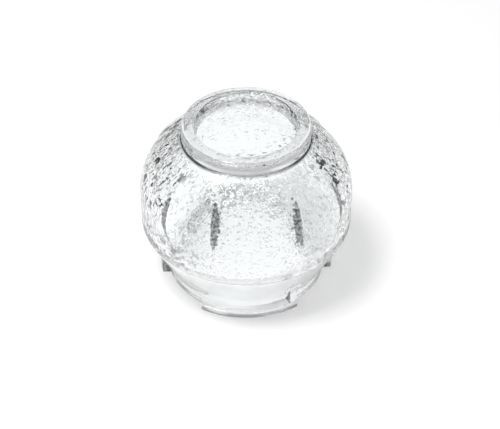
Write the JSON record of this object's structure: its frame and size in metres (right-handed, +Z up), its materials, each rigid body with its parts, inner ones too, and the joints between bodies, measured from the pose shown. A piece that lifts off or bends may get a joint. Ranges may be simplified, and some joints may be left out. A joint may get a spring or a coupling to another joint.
{
  "type": "oven lamp glass cover",
  "caption": "Clear moulded-glass cover for an oven lamp: a stippled round body with finger lobes, a dished end disc and a bayonet neck that twists into the lamp holder.",
  "frame": {"origin": "centre of the open mouth, on the plane that the rim and the lugs stand on", "axes": "+Z up along the axis to the closed end; -Y towards the middle of one wide lug; +X to the right of it"},
  "size_m": [0.07, 0.07, 0.058],
  "materials": {
    "clear_glass": "clear, stippled on the body and the end panel, smooth on the disc, neck and lugs"
  },
  "bodies": {
    "root": {"glass_cover": "clear_glass"}
  },
  "joints": []
}
